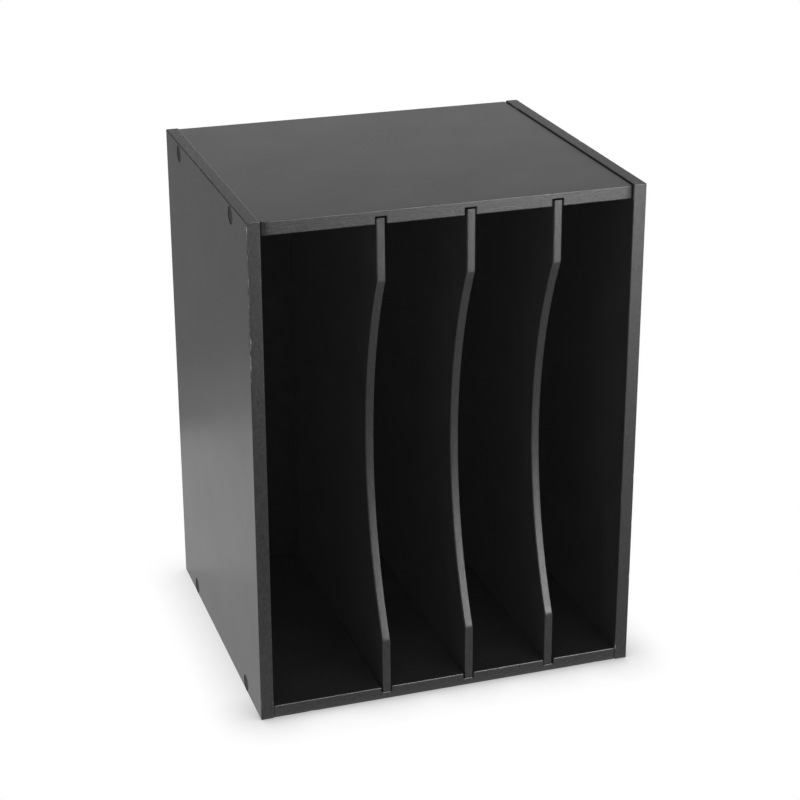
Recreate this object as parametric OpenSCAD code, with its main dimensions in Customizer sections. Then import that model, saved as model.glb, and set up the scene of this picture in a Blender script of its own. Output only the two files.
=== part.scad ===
// Upright storage unit for magazines and files: an open-fronted box of painted
// board, with three scooped dividers that slide into grooves from the front.
//
// Millimetres. +X is to the right, +Y to the back and +Z up, and the origin is
// the centre of the base.

/* [Case] */
// Outside width of the case
case_w = 267; // [250:1:320]
// Depth of the side, top and bottom boards
board_d = 232; // [200:1:300]
// Outside height of the case
case_h = 350; // [300:1:420]
// Thickness of the side, top and bottom boards
board_t = 9; // [9:0.5:12]
// How far the top board's face lies below the side boards' upper ends
top_step = 1; // [0.5:0.1:1.5]
// How far the top board stands back from the side boards, and out behind them
top_recess = 1.4; // [0:0.1:3]
// How far the bottom board stands back from the side boards, and out behind them
bottom_recess = 0.6; // [0:0.1:3]

/* [Back] */
// Thickness of the back board
back_t = 3; // [2.5:0.1:4]
// Distance from the side boards' rear edges to the back board's rear face
back_inset = 13; // [8:1:20]
// Depth of the grooves that hold the back board
back_groove_d = 4; // [3:0.5:4.5]
// Gap between the back board's edges and the floors of its side and top grooves
back_gap = 0.5; // [0.2:0.1:1]
// Play of the back board in its grooves, front to rear
back_play = 0.4; // [0.2:0.1:0.8]

/* [Dividers] */
// Thickness of a divider
divider_t = 6; // [4:0.5:7]
// Distance between neighbouring divider grooves
divider_pitch = 59.5; // [30:0.5:62]
// Sideways place of the middle divider's groove in the top board, from the case's centre
middle_groove_x = 12.8; // [-13:0.1:13]
// How far the bottom board's divider grooves lie to the right of the top board's
bottom_groove_shift = 2; // [-3:0.1:3]
// Play of a divider across its groove
divider_play = 1.4; // [0.4:0.1:2]
// Depth of the divider grooves in the top board
top_groove_d = 5; // [3:0.1:5.5]
// Depth of the divider grooves in the bottom board
bottom_groove_d = 4; // [2:0.1:4.5]
// Gap above a divider that stands in its groove
divider_headroom = 0.8; // [0.5:0.1:2]
// Gap under a divider that stands in its groove
divider_footroom = 0.1; // [0.1:0.1:0.5]
// How far a divider's front edge lies behind the side boards' front edges
divider_setback = 1.1; // [0:0.1:3]
// Gap between a divider's rear edge and the back board that stops it
divider_rear_gap = 0.4; // [0.3:0.1:2]
// How far each divider, from left to right, stands off its top groove's centre
divider_offset_top = [-0.4, 0.4, 0.1]; // [-0.6:0.1:0.6]
// How far each divider, from left to right, stands off its bottom groove's centre
divider_offset_bottom = [0.4, 0.4, -0.3]; // [-0.6:0.1:0.6]
// Length of the scoop along a divider's front edge
scoop_length = 259; // [120:1:270]
// Depth of the scoop at the middle of a divider's front edge
scoop_depth = 31.5; // [10:0.5:50]
// How far the scoop's middle lies below the divider's middle
scoop_drop = 1.6; // [0:0.1:5]

/* [Screws and caps] */
// Distance of the upper screws from the side boards' upper ends
screw_top_inset = 7.2; // [6.2:0.1:7.4]
// Distance of the lower screws from the side boards' lower ends
screw_bottom_inset = 6.3; // [6.2:0.1:6.8]
// Distance of the screws from the side boards' front and rear edges
screw_edge_inset = 41; // [25:1:60]
// Outside diameter of the screw thread
screw_d = 4; // [3.5:0.1:4]
// Diameter of the screw head
screw_head_d = 8; // [7:0.1:8]
// Length of a screw
screw_length = 30; // [25:5:40]
// Diameter of the cover caps
cap_d = 11.5; // [9:0.1:11.6]
// Depth of the counterbore that holds a cap over its screw
counterbore_depth = 2.2; // [2:0.1:2.6]
// How far a cap's face lies below the side board's face
cap_recess = 0.3; // [0:0.1:0.5]

/* [Dowels] */
// Diameter of the dowels
dowel_d = 5; // [4:0.5:5]
// Length of the dowels
dowel_length = 20; // [16:1:30]
// How deep the dowels go into the side boards
dowel_in_side = 5; // [4:0.5:6]
// Distance of the dowels from the middle of the side boards' depth
dowel_y = 35; // [20:1:50]

/* [Hidden] */
$fn = 64;

// A cut runs this far past the faces that it opens
over = 1;

board_black = [0.07, 0.07, 0.075];
cap_black = [0.04, 0.04, 0.045];
zinc = [0.72, 0.73, 0.70];
beech = [0.80, 0.66, 0.46];

// Faces of the case
x_out = case_w / 2;
x_in = x_out - board_t;
y_front = -(board_d + max(top_recess, bottom_recess)) / 2;
y_rear = y_front + board_d;
z_top_hi = case_h - top_step;
z_top_lo = z_top_hi - board_t;
z_floor = board_t;

// Back board and its grooves
y_back_rear = y_rear - back_inset;
y_back_front = y_back_rear - back_t;
back_reach = back_groove_d - back_gap;

// Divider and its grooves
groove_w = divider_t + divider_play;
top_groove_xs = [for (i = [-1:1]) middle_groove_x + i * divider_pitch];
bottom_groove_xs = [for (x = top_groove_xs) x + bottom_groove_shift];
divider_z_lo = z_floor - bottom_groove_d + divider_footroom;
divider_z_hi = z_top_lo + top_groove_d - divider_headroom;
divider_y_front = y_front + divider_setback;
divider_y_rear = y_back_front - divider_rear_gap;
divider_depth = divider_y_rear - divider_y_front;
divider_height = divider_z_hi - divider_z_lo;
scoop_r = (pow(scoop_length / 2, 2) + pow(scoop_depth, 2)) / (2 * scoop_depth);

// Screw: the head is a 90 degree cone, so it is as deep as it is wide beyond the shank
screw_z_low = screw_bottom_inset;
screw_z_high = case_h - screw_top_inset;
screw_ys = [y_front + screw_edge_inset, y_rear - screw_edge_inset];
screw_core_d = screw_d * 0.7;
screw_pitch = 1.8;
screw_tip = 3.5;
head_rim = 0.3;
seat_clearance = 0.1;
recess_w = 0.9;
recess_l = 4.4;
recess_depth = 1.6;
pilot_spare = 2;

// Cap: a shallow cup that is closed at its outer end
cap_wall = 0.8;
cap_fit = 0.1;
cap_gap = 0.1;
cap_round = 0.3;

// Dowel: a fluted round peg with chamfered ends
dowel_chamfer = 0.6;
dowel_fit = 0.05;
dowel_spare = 1;
dowel_flutes = 8;
flute_r = 0.3;
dowel_ys = [for (side = [-1, 1]) (y_front + y_rear) / 2 + side * dowel_y];

// A block between its lowest and highest corners
module block(low, high) {
    translate(low) cube(high - low);
}

// Turns a shape that stands along +Z to lie along +X
module along_x() {
    rotate([0, 90, 0]) children();
}

// The children for side -1, the left one, or mirrored for side 1, the right one
module on_side(side) {
    if (side < 0) children();
    else mirror([1, 0, 0]) children();
}

// ---- Boards ----

// Screw hole in the left board, cut from its outer face: counterbore, countersink and shank
module screw_hole(y, z) {
    seat_r = screw_head_d / 2 + seat_clearance;
    shank_r = screw_d / 2 + seat_clearance;
    translate([-x_out, y, z]) along_x() {
        translate([0, 0, -over]) cylinder(h = over + counterbore_depth, d = cap_d + 2 * cap_fit);
        translate([0, 0, counterbore_depth - 0.01])
            cylinder(h = head_rim + 0.01, r = seat_r);
        translate([0, 0, counterbore_depth + head_rim - 0.01])
            cylinder(h = seat_r - shank_r + 0.01, r1 = seat_r, r2 = shank_r);
        cylinder(h = board_t + over, r = shank_r);
    }
}

// The left side board; the right one is its mirror image
module side_panel_shape() {
    difference() {
        block([-x_out, y_front, 0], [-x_in, y_rear, case_h]);
        block([-x_in - back_groove_d, y_back_front - back_play / 2, z_floor - back_groove_d - back_gap],
              [-x_in + over, y_back_rear + back_play / 2, z_top_lo + back_groove_d + back_gap]);
        for (y = screw_ys, z = [screw_z_low, screw_z_high]) screw_hole(y, z);
        for (y = dowel_ys, z = [z_floor - board_t / 2, z_top_lo + board_t / 2])
            translate([-x_in - dowel_in_side, y, z]) along_x()
                cylinder(h = dowel_in_side + over, d = dowel_d + 2 * dowel_fit);
    }
}

// Pilot holes for the screws and blind holes for the dowels, in both ends of a cross board
module end_holes(screw_z, dowel_z) {
    pilot_depth = screw_length + counterbore_depth - board_t + pilot_spare;
    socket_depth = dowel_length - dowel_in_side + dowel_spare;
    for (side = [-1, 1]) on_side(side) {
        for (y = screw_ys) translate([-x_in - over, y, screw_z]) along_x()
            cylinder(h = over + pilot_depth, d = screw_core_d);
        for (y = dowel_ys) translate([-x_in - over, y, dowel_z]) along_x()
            cylinder(h = over + socket_depth, d = dowel_d + 2 * dowel_fit);
    }
}

// Grooves for the dividers at the given places, between two heights; they run out through
// the front edge
module divider_grooves(xs, z_low, z_high) {
    for (x = xs)
        block([x - groove_w / 2, y_front - over, z_low],
              [x + groove_w / 2, y_back_front - back_play / 2, z_high]);
}

// Groove for the back board, between two heights
module back_groove(z_low, z_high) {
    block([-x_in - over, y_back_front - back_play / 2, z_low],
          [x_in + over, y_back_rear + back_play / 2, z_high]);
}

module side_panel_left() {
    color(board_black) side_panel_shape();
}

module side_panel_right() {
    color(board_black) mirror([1, 0, 0]) side_panel_shape();
}

module top_panel() {
    color(board_black) difference() {
        block([-x_in, y_front + top_recess, z_top_lo], [x_in, y_rear + top_recess, z_top_hi]);
        divider_grooves(top_groove_xs, z_top_lo - over, z_top_lo + top_groove_d);
        back_groove(z_top_lo - over, z_top_lo + back_groove_d);
        end_holes(screw_z_high, z_top_lo + board_t / 2);
    }
}

module bottom_panel() {
    color(board_black) difference() {
        block([-x_in, y_front + bottom_recess, 0], [x_in, y_rear + bottom_recess, z_floor]);
        divider_grooves(bottom_groove_xs, z_floor - bottom_groove_d, z_floor + over);
        back_groove(z_floor - back_groove_d, z_floor + over);
        end_holes(screw_z_low, z_floor - board_t / 2);
    }
}

module back_panel() {
    color(board_black)
        block([-x_in - back_reach, y_back_front, z_floor - back_groove_d],
              [x_in + back_reach, y_back_rear, z_top_lo + back_reach]);
}

// ---- Dividers ----

// Side view of a divider: X runs from its front edge to its rear edge, Y runs up
module divider_outline() {
    difference() {
        square([divider_depth, divider_height]);
        translate([scoop_depth - scoop_r, divider_height / 2 - scoop_drop]) circle(r = scoop_r, $fn = 256);
    }
}

// A divider, counted from 0 at the left; it leans by as much as its grooves are out of line
module divider(index) {
    x_low = bottom_groove_xs[index] + divider_offset_bottom[index];
    x_high = top_groove_xs[index] + divider_offset_top[index];
    lean = atan((x_high - x_low) / divider_height);
    color(board_black)
        translate([x_low, divider_y_front, divider_z_lo]) rotate([0, lean, 0])
            translate([-divider_t / 2, 0, 0])
                rotate([90, 0, 90]) linear_extrude(height = divider_t) divider_outline();
}

// ---- Fasteners ----

// Countersunk cross-head screw along +Z: the head's face is at 0 and the point at screw_length
module screw() {
    head_r = screw_head_d / 2;
    core_r = screw_core_d / 2;
    neck = head_rim + head_r - screw_d / 2;
    turns = floor((screw_length - neck - screw_tip) / screw_pitch);
    thread_end = neck + turns * screw_pitch;
    profile = concat(
        [[0, 0], [head_r, 0], [head_r, head_rim], [screw_d / 2, neck]],
        [for (i = [0:turns - 1]) each [
            [core_r, neck + (i + 0.35) * screw_pitch],
            [screw_d / 2, neck + (i + 0.7) * screw_pitch]]],
        [[core_r, thread_end + 0.35], [0, screw_length]]
    );
    difference() {
        rotate_extrude() polygon(profile);
        for (turn = [0, 90]) rotate([0, 0, turn])
            translate([-recess_l / 2, -recess_w / 2, -over]) cube([recess_l, recess_w, over + recess_depth]);
    }
}

// Cover cap along +Z: its closed face is at 0 and its open rim faces the screw
module screw_cap() {
    r = cap_d / 2;
    depth = counterbore_depth - cap_recess - cap_gap;
    rotate_extrude() polygon([
        [0, 0], [r - cap_round, 0], [r, cap_round], [r, depth],
        [r - cap_wall, depth], [r - cap_wall, cap_wall], [0, cap_wall]
    ]);
}

// Fluted dowel along +Z, from 0 to dowel_length
module dowel() {
    r = dowel_d / 2;
    difference() {
        rotate_extrude() polygon([
            [0, 0], [r - dowel_chamfer, 0], [r, dowel_chamfer],
            [r, dowel_length - dowel_chamfer], [r - dowel_chamfer, dowel_length], [0, dowel_length]
        ]);
        for (i = [0:dowel_flutes - 1]) rotate([0, 0, i * 360 / dowel_flutes])
            translate([r, 0, -over]) cylinder(h = dowel_length + 2 * over, r = flute_r, $fn = 16);
    }
}

// The two screws that hold one end of a cross board
module screw_pair(side, z) {
    color(zinc) on_side(side) for (y = screw_ys)
        translate([-x_out + counterbore_depth, y, z]) along_x() screw();
}

// The two caps over a pair of screws
module cap_pair(side, z) {
    color(cap_black) on_side(side) for (y = screw_ys)
        translate([-x_out + cap_recess, y, z]) along_x() screw_cap();
}

// The two dowels that align one end of a cross board
module dowel_pair(side, z) {
    color(beech) on_side(side) for (y = dowel_ys)
        translate([-x_in - dowel_in_side, y, z]) along_x() dowel();
}

side_panel_left();
side_panel_right();
top_panel();
bottom_panel();
back_panel();
divider(0);  // divider_left
divider(1);  // divider_centre
divider(2);  // divider_right
screw_pair(-1, screw_z_high);  // screws_top_left
screw_pair(1, screw_z_high);  // screws_top_right
screw_pair(-1, screw_z_low);  // screws_bottom_left
screw_pair(1, screw_z_low);  // screws_bottom_right
cap_pair(-1, screw_z_high);  // screw_caps_top_left
cap_pair(1, screw_z_high);  // screw_caps_top_right
cap_pair(-1, screw_z_low);  // screw_caps_bottom_left
cap_pair(1, screw_z_low);  // screw_caps_bottom_right
dowel_pair(-1, z_top_lo + board_t / 2);  // dowels_top_left
dowel_pair(1, z_top_lo + board_t / 2);  // dowels_top_right
dowel_pair(-1, z_floor - board_t / 2);  // dowels_bottom_left
dowel_pair(1, z_floor - board_t / 2);  // dowels_bottom_right
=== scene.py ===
import math
import random

import bmesh
import bpy
from mathutils import Matrix, Quaternion, Vector, noise


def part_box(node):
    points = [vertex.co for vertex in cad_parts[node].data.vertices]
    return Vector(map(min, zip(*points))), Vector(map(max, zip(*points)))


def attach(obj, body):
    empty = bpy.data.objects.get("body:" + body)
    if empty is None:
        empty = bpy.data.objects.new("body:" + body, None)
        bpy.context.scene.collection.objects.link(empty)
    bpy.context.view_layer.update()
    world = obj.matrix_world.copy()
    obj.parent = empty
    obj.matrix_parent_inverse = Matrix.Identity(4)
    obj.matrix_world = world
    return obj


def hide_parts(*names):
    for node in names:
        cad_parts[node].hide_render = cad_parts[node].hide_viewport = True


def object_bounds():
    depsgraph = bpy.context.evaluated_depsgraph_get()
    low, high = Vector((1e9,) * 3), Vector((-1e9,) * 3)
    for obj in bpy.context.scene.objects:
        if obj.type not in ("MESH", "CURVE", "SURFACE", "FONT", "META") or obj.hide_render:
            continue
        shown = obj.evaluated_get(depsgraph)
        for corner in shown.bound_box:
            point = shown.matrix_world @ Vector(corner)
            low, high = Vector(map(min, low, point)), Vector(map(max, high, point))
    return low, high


# The looks of an upright storage unit: satin black boards with rounded, slightly
# chipped arrises, scooped dividers, screw covers, and a plain white studio.
# Everything is in metres, in the frame of the CAD model.

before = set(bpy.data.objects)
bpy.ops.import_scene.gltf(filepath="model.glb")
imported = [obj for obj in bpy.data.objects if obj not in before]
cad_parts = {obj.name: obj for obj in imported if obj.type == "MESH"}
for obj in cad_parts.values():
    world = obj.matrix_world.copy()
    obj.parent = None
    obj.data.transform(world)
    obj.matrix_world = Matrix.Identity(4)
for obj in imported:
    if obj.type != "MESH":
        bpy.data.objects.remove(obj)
cad_low, cad_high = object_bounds()

MM = 0.001
CARCASS = "carcass"
DIVIDERS = {
    "divider_left": "left_divider",
    "divider_centre": "centre_divider",
    "divider_right": "right_divider",
}
AXES = (Vector((1, 0, 0)), Vector((0, 1, 0)), Vector((0, 0, 1)))


# ---- Materials ----


class Shader:
    """A node material around one Principled shader, with short ways to add nodes."""

    def __init__(self, name, **sockets):
        self.material = bpy.data.materials.new(name)
        self.material.use_nodes = True
        self.tree = self.material.node_tree
        self.bsdf = self.tree.nodes["Principled BSDF"]
        for socket, value in sockets.items():
            self.bsdf.inputs[socket.replace("_", " ")].default_value = value
        self.place = self.add("ShaderNodeTexCoord").outputs["Object"]

    def add(self, kind, inputs=None, **settings):
        """A node with its settings, and with its inputs linked or set."""
        node = self.tree.nodes.new(kind)
        for name, value in settings.items():
            setattr(node, name, value)
        for name, value in (inputs or {}).items():
            self.put(node.inputs[name], value)
        return node

    def put(self, socket, value):
        if isinstance(value, bpy.types.NodeSocket):
            self.tree.links.new(value, socket)
        else:
            socket.default_value = value

    def stretched(self, scale):
        """The object's own coordinates, scaled by a vector."""
        return self.add("ShaderNodeMapping", {"Vector": self.place, "Scale": scale}).outputs["Vector"]

    def noise(self, scale, detail=2.0, rough=0.5, vector=None):
        inputs = {"Vector": vector or self.place, "Scale": scale, "Detail": detail, "Roughness": rough}
        return self.add("ShaderNodeTexNoise", inputs).outputs["Fac"]

    def cells(self, scale, vector=None):
        inputs = {"Vector": vector or self.place, "Scale": scale}
        return self.add("ShaderNodeTexVoronoi", inputs).outputs["Distance"]

    def spread(self, value, low, high, from_low=0.3, from_high=0.7):
        """A value from a range, moved to another range and kept inside it."""
        inputs = {
            "Value": value,
            "From Min": from_low,
            "From Max": from_high,
            "To Min": low,
            "To Max": high,
        }
        return self.add("ShaderNodeMapRange", inputs).outputs["Result"]

    def blend(self, amount, low, high):
        """A colour between two colours."""
        node = self.add("ShaderNodeMix", data_type="RGBA")
        factor, first, second = [i for i in node.inputs if i.enabled]
        self.put(factor, amount)
        self.put(first, low)
        self.put(second, high)
        return next(o for o in node.outputs if o.enabled)

    def bump(self, height, depth, below=None):
        """Relief of a depth in metres, on top of another relief."""
        inputs = {"Height": height, "Distance": depth, "Strength": 1.0}
        if below:
            inputs["Normal"] = below
        return self.add("ShaderNodeBump", inputs).outputs["Normal"]

    def attribute(self, name):
        return self.add("ShaderNodeAttribute", attribute_name=name).outputs["Fac"]

    def times(self, first, second):
        node = self.add("ShaderNodeMath", operation="MULTIPLY")
        self.put(node.inputs[0], first)
        self.put(node.inputs[1], second)
        return node.outputs[0]


def grey(value, warmth=0.0):
    """A grey that leans to yellow with warmth."""
    return (value, value * (1 - 0.3 * warmth), value * (1 - warmth), 1)


PAINT_IOR = 1.5
# The colour of bare, rubbed paint; on the left side board's inner upper arris it also paints a highlight
# line
WORN_AND_HIGHLIGHT = grey(0.22, 0.03)


def rubbed_and_highlit(shader):
    """How far the paint is rubbed off a worn arris, thinly all over and through in small flecks; on the
    left side board's inner upper arris the same mask paints a highlight line.
    """
    flecks = shader.spread(shader.noise(1100, 2, 0.6), 0.3, 1.0, 0.50, 0.62)
    return shader.times(flecks, shader.attribute("wear_and_highlight"))


def face_paint():
    """Satin black paint, sprayed on the flat faces of the boards."""
    s = Shader("face_paint", IOR=PAINT_IOR)
    tone = s.blend(s.spread(s.noise(55, 4), 0, 1), grey(0.0135), grey(0.0175))
    speck = s.spread(s.noise(1900, 1), 0, 0.5, 0.74, 0.80)
    tone = s.blend(speck, tone, grey(0.05))
    # Bare colour where the paint is rubbed, and a painted highlight line on the left side board's inner
    # upper arris
    s.put(s.bsdf.inputs["Base Color"], s.blend(rubbed_and_highlit(s), tone, WORN_AND_HIGHLIGHT))
    s.put(s.bsdf.inputs["Roughness"], s.spread(s.noise(28, 3), 0.35, 0.37))
    peel = s.bump(s.noise(520, 2), 0.000012)
    s.put(s.bsdf.inputs["Normal"], s.bump(s.noise(2600, 1), 0.0000025, peel))
    return s.material


def edge_paint(name, axis, smoothest, roughest):
    """The same paint on sawn edges, where fibres show through along one axis."""
    s = Shader(name + "_" + "xyz"[axis], IOR=PAINT_IOR)
    along = [1.0, 1.0, 1.0]
    along[axis] = 0.12
    fibres = s.noise(1500, 4, 0.65, s.stretched(along))
    blotches = s.noise(620, 3, 0.6)
    pits = s.spread(s.noise(900, 2), 1, 0, 0.58, 0.70)
    tone = s.blend(s.spread(s.times(fibres, blotches), 0, 1, 0.12, 0.36), grey(0.003), grey(0.020))
    # Bare colour where the paint is rubbed, and a painted highlight line on the left side board's inner
    # upper arris
    s.put(s.bsdf.inputs["Base Color"], s.blend(rubbed_and_highlit(s), tone, WORN_AND_HIGHLIGHT))
    s.put(s.bsdf.inputs["Roughness"], s.spread(fibres, smoothest, roughest))
    relief = s.bump(fibres, 0.00010, s.bump(blotches, 0.00010))
    s.put(s.bsdf.inputs["Normal"], s.bump(pits, 0.00004, relief))
    return s.material


def back_paint():
    """Matt black paint on hardboard, with the faint pebbling of its face."""
    s = Shader("back_paint", IOR=PAINT_IOR, Specular_IOR_Level=0.12)
    tone = s.spread(s.noise(90, 4), 0, 1)
    s.put(s.bsdf.inputs["Base Color"], s.blend(tone, grey(0.012), grey(0.016)))
    s.put(s.bsdf.inputs["Roughness"], s.spread(s.noise(60, 2), 0.72, 0.85))
    s.put(s.bsdf.inputs["Normal"], s.bump(s.cells(900), 0.00003))
    return s.material


def cap_plastic():
    """Matt black moulded plastic with a fine spark-eroded grain."""
    s = Shader("cap_plastic", IOR=1.46, Specular_IOR_Level=0.4)
    s.put(s.bsdf.inputs["Base Color"], s.blend(s.noise(400, 2), grey(0.014), grey(0.022)))
    s.put(s.bsdf.inputs["Roughness"], s.spread(s.noise(1200, 2), 0.60, 0.74))
    s.put(s.bsdf.inputs["Normal"], s.bump(s.noise(3500, 2), 0.00001))
    return s.material


def screw_zinc():
    """Zinc plating with faint turning marks and a bluish tint."""
    s = Shader("screw_zinc", Metallic=1.0)
    tint = s.spread(s.noise(300, 3), 0, 1)
    s.put(s.bsdf.inputs["Base Color"], s.blend(tint, (0.56, 0.57, 0.58, 1), (0.68, 0.68, 0.64, 1)))
    s.put(s.bsdf.inputs["Roughness"], s.spread(s.noise(900, 3), 0.26, 0.42))
    s.put(s.bsdf.inputs["Normal"], s.bump(s.noise(2200, 2, 0.5, s.stretched((8, 1, 1))), 0.000012))
    return s.material


def dowel_beech():
    """Raw beech: fine grain along the dowel, with short darker flecks."""
    s = Shader("dowel_beech")
    grain = s.noise(1100, 5, 0.6, s.stretched((0.08, 1, 1)))
    flecks = s.spread(s.cells(700, s.stretched((0.25, 1, 1))), 1, 0, 0.05, 0.2)
    wood = s.blend(s.spread(grain, 0, 1), (0.50, 0.33, 0.18, 1), (0.66, 0.48, 0.29, 1))
    s.put(s.bsdf.inputs["Base Color"], s.blend(flecks, wood, (0.36, 0.21, 0.11, 1)))
    s.put(s.bsdf.inputs["Roughness"], s.spread(grain, 0.55, 0.70))
    s.put(s.bsdf.inputs["Normal"], s.bump(grain, 0.00003))
    return s.material


FACE = face_paint()
EDGE = [edge_paint("edge_paint", axis, 0.33, 0.46) for axis in range(3)]
DIVIDER_EDGE = [edge_paint("divider_edge_paint", axis, 0.30, 0.40) for axis in range(3)]
BACK = back_paint()
CAP = cap_plastic()


# ---- Boards ----

JOINED = 0.001 * MM
SHORTEST_ARRIS = 2.5 * MM
ARRIS_STEP = 2.0 * MM
SQUARE = math.radians(60)


def bmesh_of(node):
    """A CAD node's mesh, with its split corners joined and its flat faces whole."""
    bm = bmesh.new()
    bm.from_mesh(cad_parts[node].data)
    bmesh.ops.remove_doubles(bm, verts=bm.verts, dist=JOINED)
    bmesh.ops.dissolve_limit(bm, angle_limit=math.radians(0.5), verts=bm.verts, edges=bm.edges)
    return bm


def is_arris(edge):
    return edge.is_manifold and edge.calc_face_angle_signed() > SQUARE


def split_long(bm, edges):
    """Splits straight edges into steps, and returns the pieces."""
    pieces = []
    for edge in edges:
        cuts = round(edge.calc_length() / ARRIS_STEP) - 1
        if cuts < 1:
            pieces.append(edge)
            continue
        made = bmesh.ops.subdivide_edges(bm, edges=[edge], cuts=cuts)
        pieces += [g for g in made["geom_split"] if isinstance(g, bmesh.types.BMEdge)]
        if edge not in pieces:
            pieces.append(edge)
    return pieces


def rounded(bm, radius, chosen=lambda edge: True):
    """Rounds the chosen outer arrises, and returns where they were and which way is in."""
    arrises = [e for e in bm.edges if is_arris(e) and e.calc_length() > SHORTEST_ARRIS and chosen(e)]
    lines = []
    for e in arrises:
        inward = -(e.link_faces[0].normal + e.link_faces[1].normal).normalized()
        lines.append((e.verts[0].co.copy(), e.verts[1].co.copy(), inward))
    pieces = split_long(bm, arrises)
    bmesh.ops.bevel(
        bm,
        geom=pieces,
        offset=radius,
        offset_type="OFFSET",
        segments=4,
        profile=0.5,
        affect="EDGES",
        clamp_overlap=False,
    )
    return lines


# Ranges in millimetres
CHIP_HALF_WIDTH = (0.8, 2.6)
CHIP_DEPTH = (0.10, 0.32)
FEW_CHIPS_EVERY = 90 * MM
CORNER_CHIPS = 34
LONG_EDGE = 100 * MM


def chips_along(length, count, rng, where=(0.0, 1.0)):
    """Places, half widths and depths of chips on an arris of some length."""
    return [
        (length * rng.uniform(*where), rng.uniform(*CHIP_HALF_WIDTH) * MM, rng.uniform(*CHIP_DEPTH) * MM)
        for _ in range(count)
    ]


def unworn(p, q):
    return 0.0


# How near to an arris, in its radii, a point is weathered with it
NEAR_ARRIS = 1.2
# Weathering fades out over this run towards the ends of an arris
FADE_RUN = 3 * MM
WOBBLE = 0.05 * MM
WOBBLE_SCALE = 160
PATCH_SCALE = 220
# A chip this deep is through the paint
BARE_DEPTH = 0.3 * MM
FLAT_AREA = 20 * MM * MM
NARROW_AREA = 300 * MM * MM


def weather(bm, lines, radius, chips_for, seed, wear_and_highlight_for=unworn):
    """Makes the arrises slightly uneven and chips them, inward only, and keeps flat faces flat.

    Its vertex attribute says how bare the paint is, and on the left side board's inner upper arris also
    how strong a painted highlight line is. It stays on the arrises, and on the narrow strip beside a worn
    or highlit one, because it would smear over a wide face.
    """
    rng = random.Random(seed)
    wear_and_highlight = bm.verts.layers.float.new("wear_and_highlight")
    chips = [chips_for(p, q, rng) for p, q, _ in lines]
    wear_and_highlight_amounts = [wear_and_highlight_for(p, q) for p, q, _ in lines]
    bm.normal_update()
    for v in bm.verts:
        for (p, q, inward), marks, thin in zip(lines, chips, wear_and_highlight_amounts):
            run = q - p
            t = (v.co - p).dot(run) / run.length_squared
            if not 0 <= t <= 1 or (v.co - p - run * t).length > NEAR_ARRIS * radius:
                continue
            s = t * run.length
            fade = max(0.0, min(1.0, s / FADE_RUN, (run.length - s) / FADE_RUN))
            wobble = WOBBLE * (0.5 + 0.5 * noise.noise(v.co * WOBBLE_SCALE + Vector((seed, 0, 0))))
            chip = sum(d * math.exp(-(((s - at) / w) ** 2)) for at, w, d in marks)
            move = inward * (wobble + chip) * fade
            flats = [f.normal.copy() for f in v.link_faces if f.calc_area() > FLAT_AREA]
            for normal in flats:
                move -= normal * move.dot(normal)
            v.co += move
            narrow = all(f.calc_area() < NARROW_AREA for f in v.link_faces)
            # thin is how worn the arris is, and on the left side board's inner upper arris also how
            # strong its painted highlight is
            if not flats or (thin and narrow):
                patchy = thin * (0.7 + 0.6 * noise.noise(v.co * PATCH_SCALE))
                v[wear_and_highlight] = max(v[wear_and_highlight], min(1.0, chip / BARE_DEPTH + patchy) * fade)
            break


def main_axis(vector):
    return max(range(3), key=lambda i: abs(vector[i]))


def paint_faces(bm, thin, long_axis):
    """Slot 0 on faces, and on edges one slot for each way that their fibres run."""
    for face in bm.faces:
        axis = main_axis(face.normal)
        flat = abs(face.normal[axis]) > 0.9
        if axis == thin or not flat:
            face.material_index = 0
        else:
            face.material_index = 1 + long_axis[axis]


SHARP_FROM = math.radians(42)


def to_piece(bm, name, materials, body, replaced):
    """A finished piece that rides on a body and stands for a CAD node."""
    mesh = bpy.data.meshes.new(name)
    bmesh.ops.recalc_face_normals(bm, faces=bm.faces)
    bm.to_mesh(mesh)
    bm.free()
    for material in materials:
        mesh.materials.append(material)
    mesh.polygons.foreach_set("use_smooth", [True] * len(mesh.polygons))
    mesh.set_sharp_from_angle(angle=SHARP_FROM)
    piece = bpy.data.objects.new(name, mesh)
    bpy.context.scene.collection.objects.link(piece)
    even = piece.modifiers.new("even_shading", "WEIGHTED_NORMAL")
    even.keep_sharp = True
    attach(piece, body)
    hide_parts(*replaced)
    return piece


def few_chips(p, q, rng):
    """Now and then a chip, on any arris."""
    length = (q - p).length
    return chips_along(length, int(length / FEW_CHIPS_EVERY), rng)


def front_corner_chips(p, q, rng):
    """Many small chips on the outer front arris near its upper end, few elsewhere."""
    outer_front = p.x < 0 and q.x < 0 and abs(p.x - cad_low.x) < MM and abs(p.y - cad_low.y) < MM
    if outer_front and abs(q.z - p.z) > LONG_EDGE and abs(q.y - cad_low.y) < MM:
        near_top = (0.72, 0.99) if q.z > p.z else (0.01, 0.28)
        return chips_along((q - p).length, CORNER_CHIPS, rng, near_top) + few_chips(p, q, rng)
    return few_chips(p, q, rng)


def worn_and_highlit_on_top(p, q):
    """The inner upper arris of the left side board is painted light: partly wear, where papers are put
    down, and partly a painted highlight along the arris.
    """
    along_depth = abs(p.x - q.x) < MM and abs(p.y - q.y) > LONG_EDGE
    inner = p.x > cad_low.x + 5 * MM
    return 1.2 if along_depth and inner and p.z > cad_high.z - MM else 0.0


def worn_in_front(p, q):
    """The upper front arris of the bottom board is worn where papers are slid in."""
    across = abs(p.x - q.x) > 10 * MM
    return 0.45 if across and p.y < cad_low.y + 2 * MM and p.z > 8 * MM else 0.0


NICK_X = 65.5 * MM
NICK_HALF_WIDTH = 1.6 * MM
NICK_DEPTH = 0.45 * MM


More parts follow.
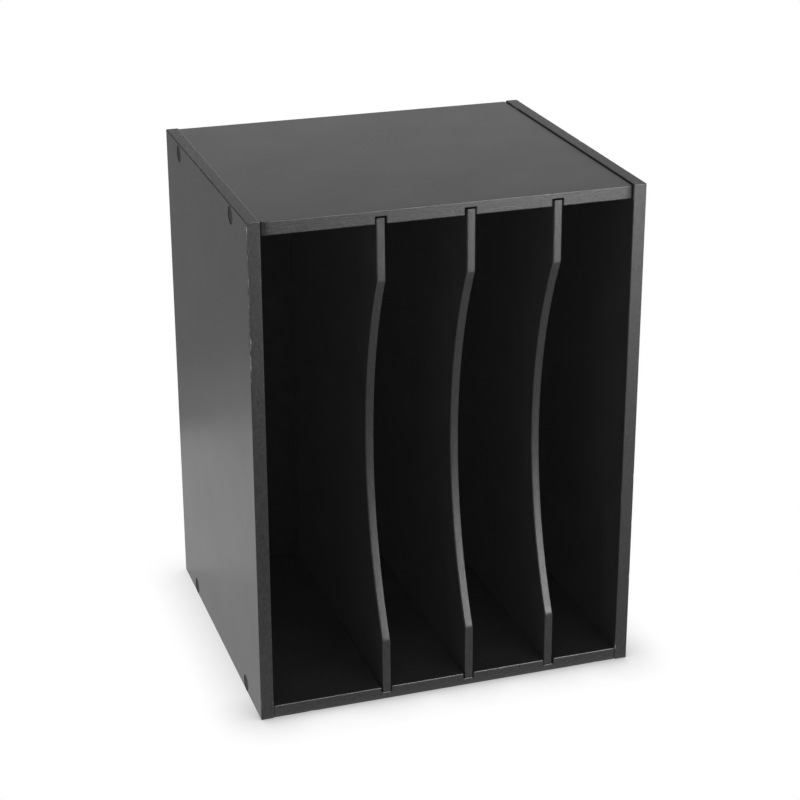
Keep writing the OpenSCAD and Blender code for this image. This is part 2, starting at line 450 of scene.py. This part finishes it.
def nick(at_x):
    """Chips for the top board, with one nick on its upper front arris."""

    def chips_for(p, q, rng):
        marks = few_chips(p, q, rng)
        upper_front = p.y < 0 and q.y < 0 and min(p.z, q.z) > cad_high.z - 2 * MM
        if upper_front and abs(p.x - q.x) > LONG_EDGE:
            marks.append((abs(at_x - p.x), NICK_HALF_WIDTH, NICK_DEPTH))
        return marks

    return chips_for


ARRIS = 0.65 * MM
BACK_ARRIS = 0.2 * MM
SANDED_RUN = 6.0 * MM
SANDED_DEPTH = 1.0 * MM
SANDED_STEPS = 5
# How the front face falls back: gently over the whole run, and steeply at the left joint
SANDED_POWER = 2
JOINT_DEPTH = 3.0 * MM
JOINT_POWER = 10
# A narrow strip beside the left side board's inner upper arris, which carries its wear and painted
# highlight as a line
WORN_AND_HIGHLIGHT_STRIP = 1.0 * MM

# For each board: its thin axis, for each face axis the axis that its fibres follow there, its chips, and
# how worn its arrises are, with a painted highlight on the left side board's inner upper arris
BOARDS = {
    "side_panel_left": (0, {1: 2, 2: 1}, front_corner_chips, worn_and_highlit_on_top),
    "side_panel_right": (0, {1: 2, 2: 1}, few_chips, unworn),
    "top_panel": (2, {0: 1, 1: 0}, nick(NICK_X), unworn),
    "bottom_panel": (2, {0: 1, 1: 0}, few_chips, worn_in_front),
}


def cut_across(bm, x):
    """An edge loop around a board at a place along x, which leaves its shape alone."""
    everything = list(bm.verts) + list(bm.edges) + list(bm.faces)
    place = Vector((x, 0, 0))
    bmesh.ops.bisect_plane(bm, geom=everything, dist=JOINED, plane_co=place, plane_no=AXES[0])


def sanded_ends(bm, low, high):
    """Lets the front face of a cross board fall back towards its ends, steeply at the left joint."""
    for end, way in ((low.x, 1), (high.x, -1)):
        for step in range(1, SANDED_STEPS + 1):
            cut_across(bm, end + way * SANDED_RUN * step / SANDED_STEPS)
    for v in bm.verts:
        to_end = min(v.co.x - low.x, high.x - v.co.x)
        if v.co.y < low.y + 1.5 * ARRIS and to_end < SANDED_RUN:
            share = 1 - to_end / SANDED_RUN
            steep = JOINT_DEPTH * share**JOINT_POWER if v.co.x < 0 else 0.0
            v.co.y += SANDED_DEPTH * share**SANDED_POWER + steep


def make_board(node, seed):
    thin, long_axis, chips_for, wear_and_highlight_for = BOARDS[node]
    bm = bmesh_of(node)
    lines = rounded(bm, ARRIS)
    if node == "top_panel":
        sanded_ends(bm, *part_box(node))
    # The left side board gets a narrow strip beside its inner upper arris, to carry its wear and painted
    # highlight line
    if node == "side_panel_left":
        cut_across(bm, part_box(node)[1].x - ARRIS - WORN_AND_HIGHLIGHT_STRIP)
    weather(bm, lines, ARRIS, chips_for, seed, wear_and_highlight_for)
    paint_faces(bm, thin, long_axis)
    return to_piece(bm, node + "_board", [FACE] + EDGE, CARCASS, [node])


def make_back():
    bm = bmesh_of("back_panel")
    rounded(bm, BACK_ARRIS)
    bm.verts.layers.float.new("wear_and_highlight")
    return to_piece(bm, "back_board", [BACK], CARCASS, ["back_panel"])


# ---- Dividers ----

SCOOP_STEPS = 90
DIVIDER_ARRIS = 0.9 * MM


def upright_frame(points):
    """The turn and shift that put an upright divider at its CAD node's slight lean."""
    low_z, high_z = min(p.z for p in points), max(p.z for p in points)
    foot_corners = [p for p in points if p.z < low_z + MM]
    head_corners = [p for p in points if p.z > high_z - MM]
    foot = sum(foot_corners, Vector()) / len(foot_corners)
    head = sum(head_corners, Vector()) / len(head_corners)
    lean = math.atan2(head.x - foot.x, head.z - foot.z)
    return Matrix.Translation(foot) @ Matrix.Rotation(lean, 4, "Y")


def divider_outline(points):
    """A divider's side view as (y, z) points: a rectangle with an arc cut from its front."""
    front, rear = min(p.y for p in points), max(p.y for p in points)
    bottom, top = min(p.z for p in points), max(p.z for p in points)
    ends = [p.z for p in points if p.y < front + 0.05 * MM and bottom + MM < p.z < top - MM]
    start, end = min(ends), max(ends)
    centre_z = (start + end) / 2
    arc = [p for p in points if p.y < (front + rear) / 2]
    depth = min(arc, key=lambda p: abs(p.z - centre_z)).y - front
    half = (end - start) / 2
    radius = (half * half + depth * depth) / (2 * depth)
    opening = math.asin(half / radius)
    outline = [(front, bottom)]
    for i in range(SCOOP_STEPS + 1):
        angle = -opening + 2 * opening * i / SCOOP_STEPS
        y = front + depth - radius + radius * math.cos(angle)
        outline.append((y, centre_z + radius * math.sin(angle)))
    return outline + [(front, top), (rear, top), (rear, bottom)]


def make_divider(node, body, seed):
    """A divider, built upright with a smooth scoop and then put at its lean."""
    corners = [v.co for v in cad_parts[node].data.vertices]
    place = upright_frame(corners)
    upright = [place.inverted() @ c for c in corners]
    low_x, high_x = min(c.x for c in upright), max(c.x for c in upright)
    outline = divider_outline(upright)
    bm = bmesh.new()
    left, right = [[bm.verts.new((x, y, z)) for y, z in outline] for x in (low_x, high_x)]
    bm.faces.new(left)
    bm.faces.new(right[::-1])
    for i in range(len(outline)):
        j = (i + 1) % len(outline)
        bm.faces.new([left[i], left[j], right[j], right[i]])
    bmesh.ops.recalc_face_normals(bm, faces=bm.faces)
    lines = rounded(bm, DIVIDER_ARRIS, lambda e: abs(e.verts[0].co.x - e.verts[1].co.x) < JOINED)
    weather(bm, lines, DIVIDER_ARRIS, few_chips, seed)
    paint_faces(bm, 0, {1: 2, 2: 1})
    bm.transform(place)
    return to_piece(bm, node + "_board", [FACE] + DIVIDER_EDGE, body, [node])


# ---- Screw covers ----

CAP_SIDES = 72


def cap_profile(radius, depth):
    """Half section of a cover as (distance from its axis, depth below its face)."""
    wall, roll, dish = 0.8 * MM, 0.45 * MM, 0.12 * MM
    points = [(0.0, dish), (0.45 * radius, 0.75 * dish), (0.75 * radius, 0.25 * dish)]
    for i in range(6):
        angle = math.radians(18 * i)
        points.append((radius - roll + roll * math.sin(angle), roll - roll * math.cos(angle)))
    points += [(radius, depth), (radius - wall, depth), (radius - wall, wall), (0.0, wall)]
    return points


def add_cap(bm, centre, face_x, inward, radius, depth):
    """One cover, turned about its axis, with its face at face_x."""
    rings = []
    for r, d in cap_profile(radius, depth):
        x = face_x + inward * d
        if r == 0:
            rings.append([bm.verts.new((x, centre.y, centre.z))])
            continue
        ring = []
        for i in range(CAP_SIDES):
            angle = math.tau * i / CAP_SIDES
            ring.append(bm.verts.new((x, centre.y + r * math.cos(angle), centre.z + r * math.sin(angle))))
        rings.append(ring)
    for a, b in zip(rings, rings[1:]):
        for i in range(CAP_SIDES):
            j = (i + 1) % CAP_SIDES
            corners = [a[i % len(a)], a[j % len(a)], b[j % len(b)], b[i % len(b)]]
            bm.faces.new(list(dict.fromkeys(corners)))


def make_caps(node):
    """The two covers over one joint's screws, in place of their CAD node."""
    low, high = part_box(node)
    radius = (high.z - low.z) / 2
    inward = 1 if low.x < 0 else -1
    face_x = low.x if inward > 0 else high.x
    bm = bmesh.new()
    for y in (low.y + radius, high.y - radius):
        centre = Vector((face_x, y, low.z + radius))
        add_cap(bm, centre, face_x, inward, radius, high.x - low.x)
    return to_piece(bm, node + "_moulded", [CAP], CARCASS, [node])


def dress(prefix, material):
    """Gives the CAD nodes with a name's start their material."""
    for name, node in sorted(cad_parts.items()):
        if name.startswith(prefix):
            node.data.materials.clear()
            node.data.materials.append(material)


# ---- Studio ----

CAMERA_AZIMUTH = math.radians(-18.132)
CAMERA_ELEVATION = math.radians(21.502)
CAMERA_DISTANCE = 1.4361
CAMERA_LENS = 90.96
# The photograph's middle lies a little below the lens's axis
CAMERA_SHIFT = -0.05
CAMERA_ROLL = math.radians(-0.13)
# How far the aim lies to the right of the middle of the object, and above it, in the picture
AIM_RIGHT = 3.12 * MM
AIM_UP = 23.43 * MM


def make_camera():
    middle = (cad_low + cad_high) / 2
    sin_a, cos_a = math.sin(CAMERA_AZIMUTH), math.cos(CAMERA_AZIMUTH)
    sin_e, cos_e = math.sin(CAMERA_ELEVATION), math.cos(CAMERA_ELEVATION)
    back = Vector((sin_a * cos_e, -cos_a * cos_e, sin_e))
    right = AXES[2].cross(back).normalized()
    up = back.cross(right)
    data = bpy.data.cameras.new("camera")
    data.lens = CAMERA_LENS
    data.shift_y = CAMERA_SHIFT
    data.sensor_width = 36
    data.clip_end = 100
    camera = bpy.data.objects.new("camera", data)
    camera.location = middle + back * CAMERA_DISTANCE + right * AIM_RIGHT + up * AIM_UP
    upright = back.to_track_quat("Z", "Y")
    camera.rotation_euler = (upright @ Quaternion((0, 0, 1), CAMERA_ROLL)).to_euler()
    bpy.context.scene.collection.objects.link(camera)
    bpy.context.scene.camera = camera


def emission(name, strength):
    material = bpy.data.materials.new(name)
    material.use_nodes = True
    tree = material.node_tree
    tree.nodes.clear()
    glow = tree.nodes.new("ShaderNodeEmission")
    glow.inputs["Color"].default_value = (1, 1, 1, 1)
    glow.inputs["Strength"].default_value = strength
    out = tree.nodes.new("ShaderNodeOutputMaterial")
    tree.links.new(glow.outputs[0], out.inputs["Surface"])
    return material


def rectangle(low, high):
    return [low, (high[0], low[1]), high, (low[0], high[1])]


def level(corners, z):
    return [(x, y, z) for x, y in corners]


def stage_plane(name, corners, material, seen_by):
    """A four-cornered plane of the set, seen only by the named kinds of ray."""
    mesh = bpy.data.meshes.new(name)
    mesh.from_pydata(corners, [], [(0, 1, 2, 3)])
    mesh.materials.append(material)
    plane = bpy.data.objects.new(name, mesh)
    for kind in ("camera", "diffuse", "glossy", "transmission", "shadow"):
        setattr(plane, "visible_" + kind, kind in seen_by)
    bpy.context.scene.collection.objects.link(plane)


def floor_paper():
    """White paper, glowing bright enough to lose its grain, with a soft shade painted into its glow
    around what stands on it.

    The painted shade is deeper in front of the object than beside and behind it.
    """
    material = emission("floor_paper", 1.0)
    tree = material.node_tree
    open_sky = tree.nodes.new("ShaderNodeAmbientOcclusion")
    open_sky.samples = CONTACT_SAMPLES
    open_sky.inputs["Distance"].default_value = CONTACT_REACH
    place = tree.nodes.new("ShaderNodeTexCoord")
    split = tree.nodes.new("ShaderNodeSeparateXYZ")
    tree.links.new(place.outputs["Object"], split.inputs["Vector"])
    darkest = tree.nodes.new("ShaderNodeMapRange")
    darkest.inputs["From Min"].default_value = cad_low.y - CONTACT_REACH
    darkest.inputs["From Max"].default_value = cad_low.y + CONTACT_REACH
    darkest.inputs["To Min"].default_value = CONTACT_FRONT
    darkest.inputs["To Max"].default_value = CONTACT_SIDE
    tree.links.new(split.outputs["Y"], darkest.inputs["Value"])
    shade = tree.nodes.new("ShaderNodeMapRange")
    shade.inputs["From Min"].default_value = CONTACT_HALF_SKY
    tree.links.new(darkest.outputs["Result"], shade.inputs["To Min"])
    tree.links.new(open_sky.outputs["AO"], shade.inputs["Value"])
    tree.links.new(shade.outputs["Result"], tree.nodes["Emission"].inputs["Strength"])
    return material


def floor_bounce():
    """The same paper as the object sees it: pale, matt, and lit by more than the lights here."""
    s = Shader("floor_bounce", Specular_IOR_Level=0.0, Roughness=0.9, Emission_Strength=FLOOR_GLOW)
    s.bsdf.inputs["Emission Color"].default_value = (1, 1, 1, 1)
    s.put(s.bsdf.inputs["Base Color"], s.blend(s.noise(6, 2), grey(0.86), grey(0.88)))
    return s.material


def area_light(name, place, aim, size, radiance, lights=("diffuse", "glossy"), shadows=True):
    """A soft box of a size in metres. radiance is how bright its face is, against white paper at 1."""
    data = bpy.data.lights.new(name, "AREA")
    data.shape = "RECTANGLE"
    data.size, data.size_y = size
    data.energy = radiance * math.pi * size[0] * size[1]
    data.use_shadow = shadows
    light = bpy.data.objects.new(name, data)
    light.location = place
    light.rotation_euler = (Vector(place) - Vector(aim)).to_track_quat("Z", "Y").to_euler()
    for kind in ("camera", "diffuse", "glossy"):
        setattr(light, "visible_" + kind, kind in lights)
    bpy.context.scene.collection.objects.link(light)


FLOOR_REACH = 40.0
FLOOR_GLOW = 0.66
CONTACT_SAMPLES = 16
# A point right beside a tall wall still sees half of the sky
CONTACT_HALF_SKY = 0.5
# Painted shade: how far the floor's glow drops at the object's foot, in front of it and beside it
CONTACT_FRONT = 0.25
CONTACT_SIDE = 0.75
CONTACT_REACH = 0.035
WORLD = 0.10
FLAG_TONE = 0.25
# It starts this far above the top, so that the front arris keeps its highlight
FLAG_GAP = 8 * MM
FLAG_HEIGHT = 0.8
FLAG_REACH = 1.5

# Just under the floor, and seen only in reflections: how bright the floor looks in the gloss.
# Each sheet lies a little above the one before it.
SHEET_Z = -0.5 * MM
BOUNCE_Z = -0.02 * MM
SHEETS = {
    "far_sheet": (rectangle((-FLOOR_REACH, -FLOOR_REACH), (FLOOR_REACH, FLOOR_REACH)), 0.42),
    "second_sheet": (rectangle((-0.6, 0.43), (-0.235, 0.50)), 0.75),
    "bright_sheet": (rectangle((-3.0, -3.0), (3.0, 0.385)), 1.0),
    "left_shade": ([(-0.60, -3.0), (-0.13, -3.0), (-0.13, 0.117), (-0.60, -0.12)], 0.82),
    "front_shade": (rectangle((-0.13, -3.0), (3.0, -0.12)), 0.66),
    "front_left_shade": (rectangle((-0.7, -3.0), (0.055, -0.27)), 0.22),
}


def make_flag():
    """A dark card over the front edge that keeps the front soft boxes out of the top's gloss."""
    y = cad_low.y - MM
    foot, head = cad_high.z + FLAG_GAP, cad_high.z + FLAG_HEIGHT
    upright = rectangle((-FLAG_REACH, foot), (FLAG_REACH, head))
    corners = [(x, y, z) for x, z in upright]
    stage_plane("flag", corners, emission("flag_card", FLAG_TONE), ("glossy", "shadow"))


def make_sheets():
    for number, (name, (corners, glow)) in enumerate(SHEETS.items()):
        depth = SHEET_Z * (1 - number / len(SHEETS))
        stage_plane(name, level(corners, depth), emission(name + "_glow", glow), ("glossy",))


def make_world(strength):
    world = bpy.data.worlds.new("studio")
    world.use_nodes = True
    world.node_tree.nodes["Background"].inputs["Color"].default_value = (1, 1, 1, 1)
    world.node_tree.nodes["Background"].inputs["Strength"].default_value = strength
    bpy.context.scene.world = world


def make_floor():
    whole = rectangle((-FLOOR_REACH, -FLOOR_REACH), (FLOOR_REACH, FLOOR_REACH))
    stage_plane("floor", level(whole, 0), floor_paper(), ("camera",))
    stage_plane("floor_bounce", level(whole, BOUNCE_Z), floor_bounce(), ("diffuse", "shadow"))


def make_lights():
    area_light("backdrop", (0.86, 2.6, 0.75), (0, 0, 0.35), (2.2, 1.4), 0.79)
    area_light("low_key", (0.345, -0.85, 0.235), (0.345, 0, 0.235), (0.18, 0.43), 9.5, ("glossy",))
    area_light("key", (0.575, -0.86, 0.525), (0.575, 0, 0.525), (0.65, 0.65), 7.2, ("glossy",))
    area_light("high_key", (0.45, -0.75, 1.25), (0.2, -0.1, 0.3), (0.66, 0.6), 10.5, ("glossy",))
    area_light("overhead", (0, -0.2, 2.0), (0, 0, 0.35), (2.2, 2.2), 1.7)
    area_light("fill", (-1.3, -1.1, 0.8), (0, 0, 0.17), (0.8, 0.8), 7.5, ("diffuse",), False)


def make_studio():
    make_floor()
    make_sheets()
    make_flag()
    make_world(WORLD)
    make_lights()
    bpy.context.scene.view_settings.view_transform = "Standard"


make_camera()
for number, board in enumerate(BOARDS):
    make_board(board, 11 + number)
make_back()
for number, (node, body) in enumerate(DIVIDERS.items()):
    make_divider(node, body, 31 + number)
for node in sorted(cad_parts):
    if node.startswith("screw_caps"):
        make_caps(node)
dress("screws_", screw_zinc())
dress("dowels_", dowel_beech())
make_studio()
